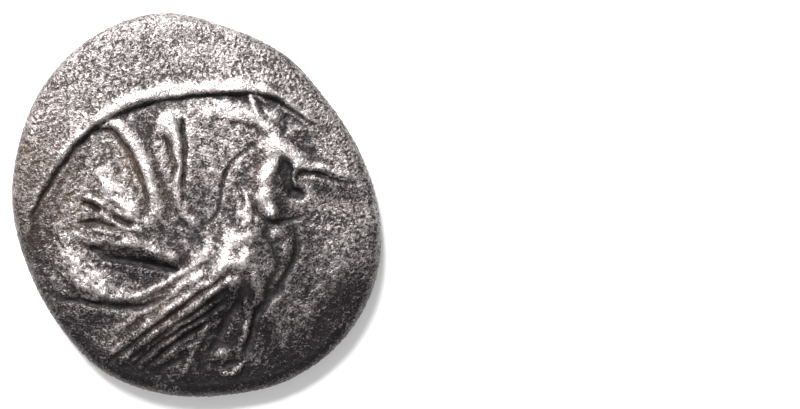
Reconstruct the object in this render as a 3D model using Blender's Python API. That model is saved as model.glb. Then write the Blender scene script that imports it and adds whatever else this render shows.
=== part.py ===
"""A small struck silver coin of the litra size, lying with its punched side down.

The coin is one solid. Its upper side was struck by a round die with a bird on it, off the middle of
the flan, so the die's edge shows as an arc. Its lower side was struck by a square punch that left a
sunk square with four sunk sails in it. Lengths are in metres and +Z is up. The origin is under the
middle of the coin, on the plane that it lies on.
"""
from math import cos, radians, sin

import bpy
import numpy as np

# Flan: the blank of silver, before and after the blow
FLAN_RADIUS = 0.00550
RIM_THICKNESS = 0.00084
CROWN = 0.00036
EDGE_HEIGHT = 0.00042
EDGE_REACH = 0.00036
# Radius of the outline every 20 degrees, turning left from +X, as shares of the flan's radius
OUTLINE_SHARES = (0.988, 0.939, 0.923, 0.963, 0.996, 1.071, 1.075, 1.047, 1.003,
                  0.973, 0.943, 0.952, 0.992, 0.999, 1.006, 1.043, 1.057, 1.040)

# Upper die: its middle lies off the flan's, and its figure is drawn in hundredths of its radius
DIE_RADIUS = 0.00520
DIE_SHIFT = (0.00021, -0.00161)
FIELD_SINK = 0.00008

# Lower punch: seen from below it stands nearly square to the view, turned from the figure's upright
PUNCH_SIDE = 0.00630
PUNCH_SHIFT = (-0.00110, -0.00015)
PUNCH_TURN = 132
PUNCH_DEPTH = 0.00026
SAIL_DEPTH = 0.00013
DRAG_DEPTH = 0.00012
DRAG_REACH = 0.00135

# Mesh: cells across the flan before the flat parts are thinned out, and steps round each edge
GRID = 160
EDGE_STEPS = 4
TRIANGLES = 9400

# Each ridge is a smooth curve through points given in hundredths of the die's radius from its middle,
# with its reach to the left and to the right of the way it runs, and its rise at both ends.
# A groove's rise is below zero.
DIE_EDGE = (
    (((-98, 22), (-86, 44), (-70, 64), (-55, 80), (-32, 91), (-3, 96), (26, 98), (41, 93), (53, 85),
      (65, 78)), 5.5, 1.8, 2.6, 1.8),
    (((70, 73), (77, 65), (84, 54), (90, 42), (94, 24)), 3.0, 2.0, 1.2, 0.8),
)
TAIL_RIDGES = (
    (((-54, 80), (-45, 77), (-36, 66), (-31, 54), (-28, 38), (-29, 28), (-34, 21)), 3.6, 2.8, 3.8, 3.2),
    (((-57, 75), (-48, 73), (-41, 62), (-36, 50), (-34, 36)), 2.6, 3.4, -1.6, -0.8),
    (((-24, 77), (-25, 63), (-21, 50), (-17, 37), (-10, 28), (-2, 18)), 3.0, 3.4, 2.4, 2.8),
    (((-11, 80), (-11, 62), (-11, 45), (-12, 32)), 1.3, 4.4, 3.6, 2.4),
    (((-20, 71), (-16, 62), (-15, 49)), 2.2, 2.2, -1.6, -1.2),
    (((25, 66), (18, 59), (13, 47), (10, 35), (6, 26), (-2, 22)), 1.8, 1.8, -1.2, -0.6),
    (((-64, 36), (-55, 31), (-45, 26)), 3.0, 3.0, 2.2, 1.8),
    (((-53, 26), (-45, 19), (-37, 17), (-30, 20)), 3.2, 3.0, 2.6, 2.4),
    (((-64, 14), (-50, 14), (-40, 10), (-29, 12), (-18, 6), (-11, 1)), 3.4, 3.0, 2.6, 3.0),
    (((-46, 7), (-30, 5), (-18, 2), (-8, 1)), 3.2, 1.9, 2.8, 3.6),
    (((-60, 4), (-46, 0), (-32, -4), (-15, -4)), 3.0, 4.4, -1.4, -1.8),
    (((-84, 24), (-76, 17), (-71, 6), (-72, -5), (-63, -13), (-50, -18), (-42, -19), (-32, -17), (-18, -10),
      (-4, -3)), 6.0, 3.2, 3.4, 3.4),
)
WING_QUILLS = (
    (((8, 2), (-9, -13), (-26, -25), (-42, -35), (-57, -47)), 4.0, 3.4, 3.6, 1.8),
    (((18, -8), (-3, -21), (-26, -35), (-40, -46), (-54, -57)), 3.8, 3.2, 3.4, 2.0),
    (((17, -20), (-2, -31), (-20, -42), (-33, -52), (-44, -61)), 3.6, 3.2, 3.0, 1.8),
    (((10, -33), (-6, -43), (-20, -53), (-36, -60)), 3.4, 3.0, 2.6, 1.2),
)
LEG_RIDGES = (
    (((14, -26), (6, -37), (1, -46), (-5, -55), (-11, -63)), 3.8, 3.4, 3.4, 1.8),
    (((29, -18), (27, -32), (23, -42), (17, -49)), 3.8, 3.4, 3.4, 2.2),
    (((8, -59), (13, -62), (18, -60), (23, -55)), 2.6, 2.6, 2.4, 3.0),
    (((-5, -54), (-14, -54), (-25, -57)), 2.2, 2.2, 2.0, 1.0),
    (((18, -29), (11, -40), (7, -52)), 2.8, 2.8, -1.4, -0.8),
)
HEAD_RIDGES = (
    (((37, 77), (43, 70), (50, 66), (54, 61), (55, 56)), 3.2, 2.8, 3.4, 3.0),
    (((40, 68), (37, 58), (33, 50), (33, 42), (38, 34), (42, 27)), 4.2, 3.8, 4.2, 3.8),
    (((55, 58), (54, 52), (52, 45)), 1.8, 1.8, 2.4, 2.0),
    (((56, 50), (64, 53), (72, 52), (79, 49), (86, 48)), 2.4, 1.5, 1.6, 1.6),
    (((30, 93), (31, 86), (36, 79)), 2.4, 2.4, 2.2, 2.2),
    (((14, 92), (21, 87), (28, 81)), 3.0, 3.0, 1.6, 1.6),
    (((19, 12), (23, 27), (29, 40), (35, 52)), 5.6, 6.0, 3.6, 3.6),
    (((29, 38), (32, 30), (38, 24), (49, 26)), 2.0, 2.0, -2.4, -1.4),
    (((60, 46), (70, 47), (84, 42)), 2.4, 2.4, -1.2, -0.4),
)

# Each mound: its middle, its two half lengths, its turn in degrees, its rise and how flat its top is
FIGURE_MOUNDS = (
    ((15, 6), (20, 14), 35, 5.2, 1.4),
    ((30, -3), (9, 19), 8, 3.2, 1.2),
    ((-3, -24), (31, 13), 38, 2.4, 1.6),
    ((-17, 73), (10, 13), 0, 1.8, 1.0),
    ((8, 79), (19, 12), 0, 1.4, 1.0),
    ((-44, 33), (11, 6), -50, 3.4, 1.2),
    ((-58, 40), (6, 4), -40, 2.2, 1.0),
    ((-49, 39), (3, 3), 0, -2.2, 1.0),
    ((-74, 11), (8, 12), 0, 1.4, 1.0),
    ((-65, -9), (12, 7), -15, 1.2, 1.0),
    ((40, 64), (7, 8), 0, 3.2, 1.2),
    ((54, 38), (6, 4), 0, -2.6, 1.0),
    ((47, 51), (4, 6), 0, -1.6, 1.0),
    ((41, 83), (4, 4), 0, 2.2, 1.0),
    ((42, 31), (4, 6), 20, 2.0, 1.0),
    ((43, 14), (4, 5), 0, 2.2, 1.0),
    ((50, 9), (4, 8), 0, 2.0, 1.0),
    ((13, -50), (6, 5), 0, 2.6, 1.2),
)

# Corners in hundredths of half the punch's side from its middle, turning right as seen from below
PUNCH_MOUTH = ((-108, 95), (100, 97), (108, -106), (-98, -90))
PUNCH_FLOOR = ((-92, 84), (79, 84), (73, -87), (-89, -87))
SAILS = (
    ((-68, 61), (-12, 68), (-9, 37), (-23, 25)),
    ((61, 52), (60, 12), (15, 3)),
    ((-73, -9), (-59, -6), (-32, -11), (-64, -36)),
    ((-4, -19), (43, -65), (2, -65), (-11, -51)),
)
SAIL_WALL = 5


def smooth_path(points, steps=6):
    """Points along a smooth curve through the given ones (Catmull and Rom's)."""
    knots = np.asarray(points, float)
    knots = np.vstack([2 * knots[0] - knots[1], knots, 2 * knots[-1] - knots[-2]])
    path = []
    for a, b, c, d in zip(knots, knots[1:], knots[2:], knots[3:]):
        for t in np.arange(steps) / steps:
            path.append(b + t / 2 * (c - a + t * (2 * a - 5 * b + 4 * c - d + t * (3 * (b - c) + d - a))))
    path.append(knots[-2])
    return np.array(path)


def ridge(x, y, points, left, right, start, end):
    """Height of a ridge at every x and y: highest on its curve and falling off to each side."""
    path = smooth_path(points)
    nearest = np.full(x.shape, np.inf)
    side = np.zeros(x.shape)
    along = np.zeros(x.shape)
    for k, ((ax, ay), (bx, by)) in enumerate(zip(path, path[1:])):
        dx, dy = bx - ax, by - ay
        length = np.hypot(dx, dy)
        share = np.clip(((x - ax) * dx + (y - ay) * dy) / length ** 2, 0, 1)
        ex, ey = x - ax - share * dx, y - ay - share * dy
        distance = np.maximum(np.hypot(ex, ey), 1e-9)
        closer = distance < nearest
        nearest = np.where(closer, distance, nearest)
        side = np.where(closer, (dx * ey - dy * ex) / (length * distance), side)
        along = np.where(closer, (k + share) / (len(path) - 1), along)
    reach = right + (left - right) * (1 + side) / 2
    return (start + (end - start) * along) * np.exp(-(nearest / reach) ** 2)


def mound(x, y, middle, halves, turn, rise, flatness):
    """Height of a rounded oval lump at every x and y."""
    c, s = cos(radians(turn)), sin(radians(turn))
    dx, dy = x - middle[0], y - middle[1]
    spread = ((dx * c + dy * s) / halves[0]) ** 2 + ((dy * c - dx * s) / halves[1]) ** 2
    return rise * np.exp(-spread ** flatness)


def inside_by(x, y, corners):
    """How far each x and y lies inside a polygon whose corners turn right; below zero is outside."""
    least = np.full(x.shape, np.inf)
    outside = np.zeros(x.shape)
    for (ax, ay), (bx, by) in zip(corners, corners[1:] + corners[:1]):
        across = ((by - ay) * (x - ax) - (bx - ax) * (y - ay)) / np.hypot(bx - ax, by - ay)
        least = np.minimum(least, across)
        outside = np.hypot(outside, np.minimum(across, 0))
    return np.where(least < 0, -outside, least)


def ease(share):
    """A soft step from 0 to 1."""
    share = np.clip(share, 0, 1)
    return share * share * (3 - 2 * share)


def outline_radius(angle):
    """Radius of the flan at an angle, on a smooth curve through the shares given all round."""
    radii = FLAN_RADIUS * np.array(OUTLINE_SHARES)
    place = (angle / (2 * np.pi) * len(radii)) % len(radii)
    k = place.astype(int)
    t = place - k
    a, b, c, d = (radii[(k + shift) % len(radii)] for shift in (-1, 0, 1, 2))
    return b + t / 2 * (c - a + t * (2 * a - 5 * b + 4 * c - d + t * (3 * (b - c) + d - a)))


def figure(x, y):
    """Rise of the struck picture above its field, in hundredths of the die's radius."""
    height = np.zeros(x.shape)
    for ridges in (DIE_EDGE, TAIL_RIDGES, WING_QUILLS, LEG_RIDGES, HEAD_RIDGES):
        for one in ridges:
            height += ridge(x, y, *one)
    for one in FIGURE_MOUNDS:
        height += mound(x, y, *one)
    return height


def upper_height(x, y, share):
    """Height of the struck side over the plane that the coin lies on."""
    unit = DIE_RADIUS / 100
    dx, dy = (x - DIE_SHIFT[0]) / unit, (y - DIE_SHIFT[1]) / unit
    field = FIELD_SINK * ease((100 - np.hypot(dx, dy)) / 4)
    fade = ease((1 - share) * 12)
    return RIM_THICKNESS + CROWN * (1 - share ** 2.4) - field * fade + figure(dx, dy) * unit * fade


def lower_height(x, y):
    """Height of the punched side: flat near the edge, drawn in round the punch and sunk inside it."""
    c, s = cos(radians(PUNCH_TURN)), sin(radians(PUNCH_TURN))
    unit = PUNCH_SIDE / 200
    u = (x * c + y * s - PUNCH_SHIFT[0]) / unit
    v = (x * s - y * c - PUNCH_SHIFT[1]) / unit
    mouth = inside_by(u, v, PUNCH_MOUTH)
    floor = inside_by(u, v, PUNCH_FLOOR)
    drag = DRAG_DEPTH * ease(1 + np.minimum(mouth, 0) * unit / DRAG_REACH)
    wall = np.clip(mouth / np.maximum(mouth - floor, 1e-9), 0, 1)
    height = drag + PUNCH_DEPTH * np.where(floor > 0, 1, wall)
    for corners in SAILS:
        height += SAIL_DEPTH * ease(inside_by(u, v, corners) / SAIL_WALL + 0.5)
    return height


def round_grid(cells):
    """A square grid bent into a disc of radius 1, as rows of x and rows of y."""
    line = np.linspace(-1, 1, cells + 1)
    a, b = np.meshgrid(line, line)
    wide = np.abs(a) > np.abs(b)
    radius = np.where(wide, a, b)
    ratio = np.where(wide, b, a) / np.where(radius == 0, 1, radius)
    turn = np.where(wide, np.pi / 4 * ratio, np.pi / 2 - np.pi / 4 * ratio)
    return radius * np.cos(turn), radius * np.sin(turn)


def border_of(cells):
    """Places of the grid's border points in its flattened order, turning left."""
    side = cells + 1
    low = [k for k in range(cells)]
    right = [k * side + cells for k in range(cells)]
    top = [cells * side + k for k in range(cells, 0, -1)]
    left = [k * side for k in range(cells, 0, -1)]
    return low + right + top + left


def coin_mesh():
    """Corners and faces of the coin: two sheets on one grid, joined round the edge by a rounded band."""
    gx, gy = (part.ravel() for part in round_grid(GRID))
    angle = np.arctan2(gy, gx) % (2 * np.pi)
    rim = outline_radius(angle)
    inner = (rim - EDGE_REACH) / rim
    share = np.hypot(gx, gy) * inner
    x, y = gx * (rim - EDGE_REACH), gy * (rim - EDGE_REACH)
    upper, lower = upper_height(x, y, share), lower_height(x, y)

    count = len(gx)
    points = list(zip(x, y, upper)) + list(zip(x, y, lower))
    border = border_of(GRID)
    around = len(border)
    rings = [[k for k in border]]
    for step in range(1, 2 * EDGE_STEPS):
        turn = np.pi / 2 * step / EDGE_STEPS
        reach = EDGE_REACH * sin(turn)
        ring = []
        for k in border:
            level = upper[k] if step <= EDGE_STEPS else lower[k]
            radius = rim[k] - EDGE_REACH + reach
            ring.append(len(points))
            points.append((radius * cos(angle[k]), radius * sin(angle[k]),
                           EDGE_HEIGHT + (level - EDGE_HEIGHT) * abs(cos(turn))))
        rings.append(ring)
    rings.append([k + count for k in border])

    faces = []
    side = GRID + 1
    for row in range(GRID):
        for column in range(GRID):
            a = row * side + column
            b, c, d = a + 1, a + side + 1, a + side
            faces += [(a, b, c, d), (a + count, d + count, c + count, b + count)]
    for above, below in zip(rings, rings[1:]):
        for k in range(around):
            n = (k + 1) % around
            faces.append((above[k], below[k], below[n], above[n]))
    return np.array(points), faces


def silver():
    """Old silver, toned grey."""
    material = bpy.data.materials.new("old silver")
    material.use_nodes = True
    surface = material.node_tree.nodes["Principled BSDF"]
    surface.inputs["Base Color"].default_value = (0.52, 0.50, 0.48, 1)
    surface.inputs["Metallic"].default_value = 1
    surface.inputs["Roughness"].default_value = 0.4
    return material


def build():
    for old in list(bpy.data.objects):
        bpy.data.objects.remove(old)
    points, faces = coin_mesh()
    low, high = points.min(axis=0), points.max(axis=0)
    points -= ((low[0] + high[0]) / 2, (low[1] + high[1]) / 2, 0)
    mesh = bpy.data.meshes.new("litra_coin")
    mesh.from_pydata(points.tolist(), [], faces)
    mesh.materials.append(silver())
    coin = bpy.data.objects.new("litra_coin", mesh)
    bpy.context.scene.collection.objects.link(coin)
    thin = coin.modifiers.new("thin out flat parts", "DECIMATE")
    thin.ratio = TRIANGLES / (2 * len(faces))


build()
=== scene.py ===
# %% [markdown]
# # A small struck silver coin, seen close up
#
# The coin is one lump of silver, about 11 mm across. A blank called a flan was laid on a die with a
# bird cut into it and hit with a square punch, so it has a raised picture on one side and a sunk
# square on the other. It has been worn and lay in the ground for a long time, which left its skin
# granular. This script builds that skin as one fine mesh round the plain solid of the coin and
# gives it a silver finish. Every code cell below prints what it made or measured.

# %% Load the frame
from math import cos, pi, radians, sin

import bpy
import numpy as np
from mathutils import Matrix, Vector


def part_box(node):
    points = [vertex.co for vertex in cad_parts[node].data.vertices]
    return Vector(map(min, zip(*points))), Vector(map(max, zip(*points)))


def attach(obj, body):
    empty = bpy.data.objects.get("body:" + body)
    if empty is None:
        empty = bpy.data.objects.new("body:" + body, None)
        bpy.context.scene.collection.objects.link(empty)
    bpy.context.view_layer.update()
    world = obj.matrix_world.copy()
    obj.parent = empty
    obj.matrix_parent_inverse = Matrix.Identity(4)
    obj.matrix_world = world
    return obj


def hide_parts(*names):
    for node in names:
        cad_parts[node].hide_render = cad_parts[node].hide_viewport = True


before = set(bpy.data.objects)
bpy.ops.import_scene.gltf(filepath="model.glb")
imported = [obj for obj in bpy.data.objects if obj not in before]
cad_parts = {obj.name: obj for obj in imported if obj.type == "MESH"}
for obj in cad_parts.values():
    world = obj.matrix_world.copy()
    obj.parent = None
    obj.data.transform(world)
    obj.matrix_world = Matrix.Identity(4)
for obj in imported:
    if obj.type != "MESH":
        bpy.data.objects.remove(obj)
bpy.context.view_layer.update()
print("pieces of the solid:", sorted(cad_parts))

# %% [markdown]
# ## One unit for everything
#
# Blender works in metres, which makes a coin's sizes awkward to read. All the sizes below are in
# millimetres, and one number turns them into the scene's unit. It is taken from the width of the
# coin's solid, so the skin grows or shrinks with it.

# %% Millimetres
COIN_WIDTH = 10.873
coin_low, coin_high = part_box("litra_coin")
MM = (coin_high.x - coin_low.x) / COIN_WIDTH
print(f"one millimetre of the drawing is {MM:.6f} m of the scene")

# %% [markdown]
# ## The outline of the flan
#
# The blank was cast as a rough drop and flattened by the blow, so its outline is round only in a
# general way. It could be traced with many points, but a smooth closed curve through a radius every
# 20 degrees keeps all that shows, and its bulges stay easy to change one by one. A little unevenness
# comes on top of it later, from the grain.

# %% Outline
FLAN_RADIUS = 5.50
OUTLINE_SHARES = (0.988, 0.939, 0.923, 0.963, 0.996, 1.071, 1.075, 1.047, 1.003,
                  0.973, 0.943, 0.952, 0.992, 0.999, 1.006, 1.043, 1.057, 1.040)


def between(a, b, c, d, t):
    """A point at the share t of the way from b to c, on a smooth curve past a and d."""
    return b + t / 2 * (c - a + t * (2 * a - 5 * b + 4 * c - d + t * (3 * (b - c) + d - a)))


def outline_radius(angle):
    """The flan's radius in each direction, in mm."""
    radii = FLAN_RADIUS * np.array(OUTLINE_SHARES)
    place = (angle / (2 * pi) * len(radii)) % len(radii)
    k = place.astype(int)
    a, b, c, d = (radii[(k + shift) % len(radii)] for shift in (-1, 0, 1, 2))
    return between(a, b, c, d, place - k)


all_round = np.linspace(0, 2 * pi, 720, endpoint=False)
rim_x = outline_radius(all_round) * np.cos(all_round)
rim_y = outline_radius(all_round) * np.sin(all_round)
POLE = (-(rim_x.min() + rim_x.max()) / 2, -(rim_y.min() + rim_y.max()) / 2)
print(f"flan {np.ptp(rim_x):.2f} by {np.ptp(rim_y):.2f} mm, pole at {POLE[0]:.3f}, {POLE[1]:.3f} mm")

# %% [markdown]
# ## A drawing board for the heights
#
# Each side of the coin is a height over a flat disc, so it can be worked out like a picture: on a
# board of small squares, each holding one height. The board is finer than the mesh will be. On it a
# surface can be softened, compared with its surroundings or given grain in one line, and the mesh
# takes its heights from the board at the end. Sculpting the mesh directly would need the same steps
# point by point.

# %% Board
BOARD_STEP = 0.03
BOARD_POINTS = 400
TINY = 1e-9

line = (np.arange(BOARD_POINTS) - BOARD_POINTS / 2) * BOARD_STEP
board_x, board_y = np.meshgrid(line, line)
board_angle = np.arctan2(board_y - POLE[1], board_x - POLE[0]) % (2 * pi)
share = np.hypot(board_x - POLE[0], board_y - POLE[1]) / outline_radius(board_angle)


def ease(part):
    """A soft step from 0 to 1."""
    part = np.clip(part, 0, 1)
    return part * part * (3 - 2 * part)


def at(board, px, py):
    """What the board holds at places in mm, read between its squares."""
    u, v = px / BOARD_STEP + BOARD_POINTS / 2, py / BOARD_STEP + BOARD_POINTS / 2
    i, j = np.floor(u).astype(int), np.floor(v).astype(int)
    u, v = u - i, v - j
    i, j, right, up = (k % BOARD_POINTS for k in (i, j, i + 1, j + 1))
    below = board[j, i] * (1 - u) + board[j, right] * u
    above = board[up, i] * (1 - u) + board[up, right] * u
    return below * (1 - v) + above * v


print(f"board of {BOARD_POINTS} by {BOARD_POINTS} squares of {BOARD_STEP} mm")

# %% [markdown]
# ## Softening a board
#
# A blurred copy of the heights tells what stands out and what lies low, as a finger does that is too
# broad for the hollows. It could be averaged over the squares round each one, which is slow for a wide
# reach. Taken apart into waves, the board only needs its short waves made weaker.

# %% Blur
waves = np.fft.fftfreq(BOARD_POINTS, BOARD_STEP)
wave_x, wave_y = np.meshgrid(waves, waves)


def softened(board, reach):
    """The board blurred over a reach in mm."""
    kept = np.exp(-2 * (pi * reach) ** 2 * (wave_x ** 2 + wave_y ** 2))
    return np.fft.ifft2(np.fft.fft2(board) * kept).real


print(f"waves from {BOARD_POINTS * BOARD_STEP:.0f} mm down to {2 * BOARD_STEP} mm long")

# %% [markdown]
# ## Randomness with one size
#
# Nothing on a worn coin is quite straight or even. Plain noise has every size in it and looks like
# fog, so this makes noise with one wavelength: random numbers on the board, of which only the waves
# of about the wanted length are kept. Short waves give the grain of the silver, long ones soft
# patches, and waves in between make the engraver's strokes waver.

# %% Noise
SLOW_PITCH, SLOW_WAVER = 0.80, 0.012
QUICK_PITCH, QUICK_WAVER = 0.16, 0.004


def noise(pitch, seed, spread=0.4, stretch=1.0, turn=0):
    """Random heights with waves of about one pitch in mm, longer along turn by stretch."""
    random = np.random.default_rng(seed).standard_normal(board_x.shape)
    c, s = cos(radians(turn)), sin(radians(turn))
    here = np.hypot((wave_x * c + wave_y * s) * stretch, wave_y * c - wave_x * s)
    kept = np.exp(-((here * pitch - 1) / spread) ** 2)
    made = np.fft.ifft2(np.fft.fft2(random) * kept).real
    return made / made.std()


hand_x = board_x + SLOW_WAVER * noise(SLOW_PITCH, 21) + QUICK_WAVER * noise(QUICK_PITCH, 22)
hand_y = board_y + SLOW_WAVER * noise(SLOW_PITCH, 23) + QUICK_WAVER * noise(QUICK_PITCH, 24)
print(f"strokes waver by up to {np.abs(hand_x - board_x).max():.2f} mm")

# %% [markdown]
# ## Paths for the strokes
#
# A die is cut with strokes of a graver, so the relief is put together from strokes as well. Each
# follows a smooth curve through a few points. Blender has curves of its own, but a curve on the board
# is only a list of places, and the same function that bends the outline can bend it.

# %% Paths


def smooth_path(points, steps=6):
    """A smooth curve through some points, in short straight steps."""
    knots = np.asarray(points, float)
    knots = np.vstack([2 * knots[0] - knots[1], knots, 2 * knots[-1] - knots[-2]])
    path = [between(a, b, c, d, t) for a, b, c, d in zip(knots, knots[1:], knots[2:], knots[3:])
            for t in np.arange(steps) / steps]
    return np.array(path + [knots[-2]])


def window(points, margin):
    """The rows and columns of the board that lie near some points."""
    low = (np.min(points, axis=0) - margin) / BOARD_STEP + BOARD_POINTS / 2
    high = (np.max(points, axis=0) + margin) / BOARD_STEP + BOARD_POINTS / 2
    columns, rows = (slice(max(0, int(a)), max(0, int(b) + 2)) for a, b in zip(low, high))
    return rows, columns


print(f"three points make a path of {len(smooth_path([(0, 0), (1, 1), (2, 0)]))}")

# %% [markdown]
# ## Ridges and mounds
#
# A ridge is a curve that the surface rises to, with its own reach on the left and on the right of the
# way it runs, so one flank can be steep and the other soft. Its fullness says whether the crest is
# sharp, near 1, or broad and flat, above 2. A groove is a ridge whose rise is below zero, and a mound
# is a rounded oval lump. Sculpting brushes work alike, but a stroke that is written down can be
# changed later. Each only touches the part of the board near it.

# %% Ridges
FULLNESS = 2.6
# A stroke has faded away at this many times its reach
FADED = 3


def ridge(board, points, left, right, *rises, fullness=FULLNESS):
    """Raises a ridge with its crest on a curve. The rises are spread evenly along it."""
    path = smooth_path(points)
    near = window(path, FADED * max(left, right))
    px, py = hand_x[near], hand_y[near]
    nearest = np.full(px.shape, np.inf)
    side = np.zeros(px.shape)
    along = np.zeros(px.shape)
    for k, ((ax, ay), (bx, by)) in enumerate(zip(path, path[1:])):
        dx, dy = bx - ax, by - ay
        length = np.hypot(dx, dy)
        reached = np.clip(((px - ax) * dx + (py - ay) * dy) / length ** 2, 0, 1)
        ex, ey = px - ax - reached * dx, py - ay - reached * dy
        distance = np.maximum(np.hypot(ex, ey), TINY)
        closer = distance < nearest
        nearest = np.where(closer, distance, nearest)
        side = np.where(closer, (dx * ey - dy * ex) / (length * distance), side)
        along = np.where(closer, (k + reached) / (len(path) - 1), along)
    reach = right + (left - right) * (1 + side) / 2
    rise = np.interp(along, np.linspace(0, 1, len(rises)), rises)
    board[near] += rise * np.exp(-(nearest / reach) ** fullness)


print(f"ridges have a fullness of {FULLNESS} unless they say another")

# %% Mounds


def mound(board, middle, halves, turn, rise, flatness=1):
    """Raises a rounded oval lump."""
    near = window([middle], FADED * max(halves))
    c, s = cos(radians(turn)), sin(radians(turn))
    dx, dy = hand_x[near] - middle[0], hand_y[near] - middle[1]
    spread = ((dx * c + dy * s) / halves[0]) ** 2 + ((dy * c - dx * s) / halves[1]) ** 2
    board[near] += rise * np.exp(-spread ** flatness)


bird = np.zeros(board_x.shape)
print(f"the relief starts flat, on {bird.size} squares")

# %% [markdown]
# ## The edge of the die
#
# The die was smaller than the flan and sat low on it. Its rim dug in along an arc across the top,
# which left a lip with a soft outer slope, a sharp crest, a steep wall and a narrow trough at the
# wall's foot. The step could be cut into the mesh with a disc, but a ridge with a wide reach outside
# and a narrow one inside gives slope and wall in one stroke. The slope faces the light, so the lip
# shows as a white band with a black line under it. All places from here on are in mm from the coin's
# middle, and so are reaches and rises.

# %% Lip
LIP_FULLNESS = 1.6
# Each stroke from here on has its points, its reach on the left and on the right, and its rises
LIP = (
    (((-4.95, -0.45), (-4.37, 0.60), (-3.57, 1.72), (-2.80, 2.47), (-1.53, 3.04), (0.00, 3.28),
      (1.50, 3.36), (2.35, 3.18), (2.96, 2.77), (3.60, 2.36)),
     0.30, 0.05, 0.02, 0.07, 0.18, 0.18, 0.16, 0.03),
)
LIP_FOOT = (
    (((-4.87, -0.41), (-4.33, 0.51), (-3.53, 1.63), (-2.77, 2.37), (-1.50, 2.94), (0.00, 3.19),
      (1.50, 3.27), (2.29, 3.10), (2.89, 2.71), (3.52, 2.31)),
     0.04, 0.06, -0.05, -0.08, -0.07, -0.05, -0.07, -0.09, -0.03),
    (((4.95, 0.10), (5.10, -0.40), (5.25, -0.90), (5.33, -1.60)), 0.06, 0.06, 0.02, 0.02),
)
# Each mound has its middle, its half lengths, its turn in degrees, its rise and perhaps its flatness
TROUGHS = (
    ((-2.00, 2.72), (0.60, 0.12), 22, -0.05),
    ((2.30, 2.98), (0.30, 0.12), -24, -0.08),
    ((-3.10, 1.98), (0.50, 0.10), 45, -0.03),
    ((-3.30, 2.22), (0.08, 0.08), 0, -0.05),
    ((-1.00, 3.25), (0.08, 0.08), 0, -0.03),
)
for one in LIP:
    ridge(bird, *one, fullness=LIP_FULLNESS)
for one in LIP_FOOT:
    ridge(bird, *one)
for one in TROUGHS:
    mound(bird, *one)
print(f"lip {bird.max():.2f} mm high, foot {-bird.min():.2f} mm deep")

# %% [markdown]
# ## The sickle feathers
#
# A cock's tail is a sheaf of long curved feathers. On the die each was one swelling stroke of the
# graver. Each could be modelled as a body of its own and sunk into the coin, but the real ones are
# only swellings of the surface, so ridges on the board come closer.

# %% Feathers
SICKLES = (
    (((-2.74, 2.38), (-2.42, 2.36), (-2.12, 2.14), (-1.84, 1.78), (-1.58, 1.30), (-1.42, 0.92),
      (-1.30, 0.55), (-1.22, 0.10), (-1.22, -0.20), (-1.38, -0.45), (-1.65, -0.55)),
     0.24, 0.12, 0.10, 0.15, 0.14, 0.11, 0.09, 0.08),
    (((-1.02, 2.45), (-1.14, 1.95), (-1.05, 1.35), (-0.86, 0.85), (-0.66, 0.40), (-0.42, -0.05),
      (-0.10, -0.60)), 0.22, 0.12, 0.06, 0.05, 0.05, 0.06, 0.08),
    (((-0.72, 2.55), (-0.52, 2.10), (-0.45, 1.60), (-0.45, 1.00), (-0.46, 0.40), (-0.42, 0.00)),
     0.06, 0.24, 0.15, 0.14, 0.08, 0.04),
    (((-3.05, -0.95), (-2.60, -1.02), (-2.10, -1.12), (-1.60, -1.22), (-1.10, -1.40),
      (-0.70, -1.58)),
     0.26, 0.20, 0.05, 0.09, 0.13, 0.12),
    (((-3.85, -0.75), (-3.75, -1.35), (-3.45, -1.98), (-2.95, -2.38), (-2.35, -2.62)),
     0.42, 0.30, 0.05, 0.10, 0.12, 0.10),
    (((-2.70, -2.66), (-2.25, -2.76), (-1.80, -2.72), (-1.43, -2.60), (-0.95, -2.34), (-0.50, -2.06),
      (0.00, -1.80)), 0.12, 0.07, 0.06, 0.10, 0.10, 0.10),
    (((-2.78, 0.80), (-2.58, 0.50), (-2.34, 0.22), (-2.08, -0.06), (-1.90, -0.30)),
     0.32, 0.10, 0.07, 0.14, 0.15, 0.12),
    (((-3.06, 0.20), (-2.84, 0.10), (-2.66, -0.04)), 0.07, 0.06, 0.06, 0.06),
    (((-2.75, -0.28), (-2.40, -0.50), (-2.00, -0.66), (-1.60, -0.74)), 0.08, 0.07, 0.06, 0.07),
    (((-2.30, -0.22), (-1.95, -0.34), (-1.65, -0.48)), 0.07, 0.06, 0.06, 0.06),
    (((-3.70, 0.18), (-3.40, 0.30), (-3.20, 0.46)), 0.05, 0.05, 0.03, 0.04),
    (((-2.95, -0.72), (-2.55, -0.80), (-2.15, -0.92)), 0.07, 0.06, 0.05, 0.05),
)
for one in SICKLES:
    ridge(bird, *one)
print(f"{len(SICKLES)} feathers, the highest {bird.max():.2f} mm")

# %% [markdown]
# ## The cuts between them
#
# Beside most feathers runs a narrow cut that sets it off. The light falls from the top, so the cuts
# matter as much as the feathers: they are what stays dark. Dark lines in the finish would stay dark
# from every side, so the cuts are real grooves, made by ridges whose rises are below zero.

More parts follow.
